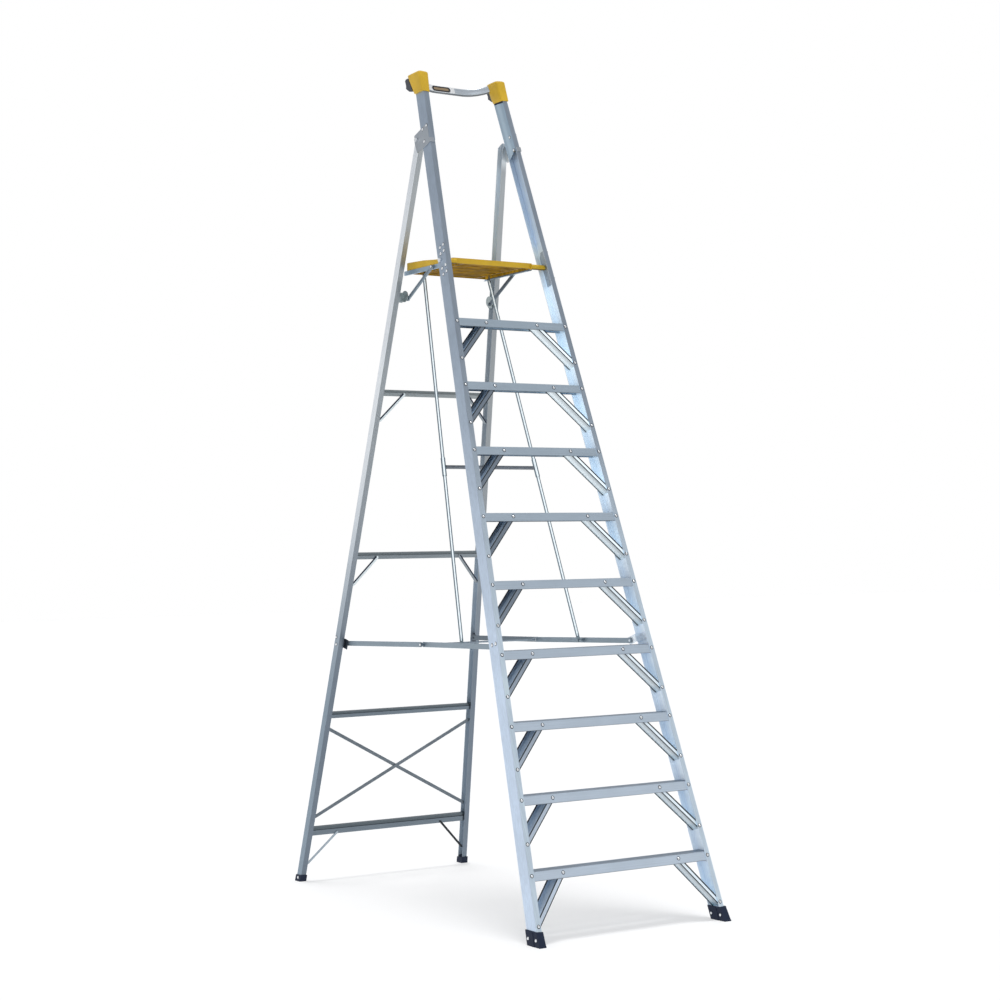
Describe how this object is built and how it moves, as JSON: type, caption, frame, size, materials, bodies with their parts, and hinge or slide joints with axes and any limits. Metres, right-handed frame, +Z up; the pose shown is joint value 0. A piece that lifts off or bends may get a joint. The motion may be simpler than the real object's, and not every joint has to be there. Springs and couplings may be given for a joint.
{
  "type": "platform ladder",
  "caption": "Folding aluminium platform ladder: tapered stiles, ribbed treads, yellow platform and caps, bowed top rail, braced rear frame, spreaders and lifting rods that fold together.",
  "frame": {"origin": "on the floor, in the middle of the ladder's width and depth", "axes": "+X to the right seen from the climbing side, +Y from the climbing side to the rear frame, +Z up"},
  "size_m": [0.9432, 2.1464, 3.7284],
  "materials": {
    "stile_aluminium": "satin mill finish",
    "tread_aluminium": "satin, ribbed top",
    "rear_aluminium": "satin mill finish",
    "plate_aluminium": "satin",
    "rail_aluminium": "satin",
    "galvanised_steel": "galvanised",
    "rod_steel": "zinc plated",
    "link_steel": "galvanised",
    "bolt_steel": "zinc plated",
    "yellow_moulding": "semi-gloss",
    "grey_moulding": "matt",
    "black_rubber": "matt"
  },
  "bodies": {
    "front_frame": {"cap_left": "yellow_moulding", "cap_right": "yellow_moulding", "front_boot_left": "black_rubber", "front_boot_right": "black_rubber", "front_spreader_bracket_left": "galvanised_steel", "front_spreader_bracket_right": "galvanised_steel", "front_stile_left": "stile_aluminium", "front_stile_right": "stile_aluminium", "hinge_bolts": "bolt_steel", "hinge_plate_outer_left": "galvanised_steel", "hinge_plate_outer_right": "galvanised_steel", "knee_braces": "galvanised_steel", "pivot_plate_left": "galvanised_steel", "pivot_plate_right": "galvanised_steel", "platform_pins": "bolt_steel", "rail_plug_left": "grey_moulding", "rail_plug_right": "grey_moulding", "stile_liner_left": "plate_aluminium", "stile_liner_right": "plate_aluminium", "top_rail": "rail_aluminium", "tread_1": "tread_aluminium", "tread_2": "tread_aluminium", "tread_3": "tread_aluminium", "tread_4": "tread_aluminium", "tread_5": "tread_aluminium", "tread_6": "tread_aluminium", "tread_7": "tread_aluminium", "tread_8": "tread_aluminium", "tread_9": "tread_aluminium"},
    "rear_frame": {"cross_brace_back": "galvanised_steel", "cross_brace_front": "galvanised_steel", "rear_foot_left": "black_rubber", "rear_foot_right": "black_rubber", "rear_knee_straps": "galvanised_steel", "rear_rail_1": "rear_aluminium", "rear_rail_2": "rear_aluminium", "rear_rail_3": "rear_aluminium", "rear_rail_4": "rear_aluminium", "rear_spreader_bracket_left": "galvanised_steel", "rear_spreader_bracket_right": "galvanised_steel", "rear_stile_left": "rear_aluminium", "rear_stile_right": "rear_aluminium", "strut_bracket_left": "galvanised_steel", "strut_bracket_right": "galvanised_steel"},
    "platform": {"platform_deck": "yellow_moulding", "platform_side_rail_left": "plate_aluminium", "platform_side_rail_right": "plate_aluminium"},
    "front_links": {"front_link_left": "link_steel", "front_link_right": "link_steel", "spreader_tie": "rod_steel"},
    "rear_links": {"rear_link_left": "link_steel", "rear_link_right": "link_steel"},
    "rods": {"rod_crossbar": "rod_steel", "rod_left": "rod_steel", "rod_right": "rod_steel"},
    "struts": {"strut_left": "link_steel", "strut_right": "link_steel"}
  },
  "joints": [
    {"name": "rear_frame_fold", "type": "hinge", "parent": "front_frame", "child": "rear_frame", "pos_m": [0, 0.15451, 3.4112], "axis": [-1, 0, 0], "range_deg": [0, 31]},
    {"name": "platform_fold", "type": "hinge", "parent": "front_frame", "child": "platform", "pos_m": [0, -0.09902, 2.826], "axis": [1, 0, 0], "range_deg": [0, 70.5]},
    {"name": "front_link_fold", "type": "hinge", "parent": "front_frame", "child": "front_links", "pos_m": [0, -0.58376, 1.147], "axis": [1, 0, 0], "range_deg": [0, 70.5]},
    {"name": "rear_link_fold", "type": "hinge", "parent": "rear_frame", "child": "rear_links", "pos_m": [0, 0.71664, 1.136], "axis": [-1, 0, 0], "range_deg": [0, 75.14]},
    {"name": "rod_fold", "type": "hinge", "parent": "front_links", "child": "rods", "pos_m": [0, -0.25676, 1.143], "axis": [-1, 0, 0], "range_deg": [0, 70.5]},
    {"name": "strut_fold", "type": "hinge", "parent": "platform", "child": "struts", "pos_m": [0, 0.07053, 2.826], "axis": [-1, 0, 0], "range_deg": [0, 142.92]}
  ],
  "couplings": [
    {"joint": "platform_fold", "follows": "rear_frame_fold", "ratio": 2.2742},
    {"joint": "front_link_fold", "follows": "rear_frame_fold", "ratio": 2.2742},
    {"joint": "rod_fold", "follows": "rear_frame_fold", "ratio": 2.2742},
    {"joint": "rear_link_fold", "follows": "rear_frame_fold", "ratio": 2.4237},
    {"joint": "strut_fold", "follows": "rear_frame_fold", "ratio": 4.6103}
  ]
}
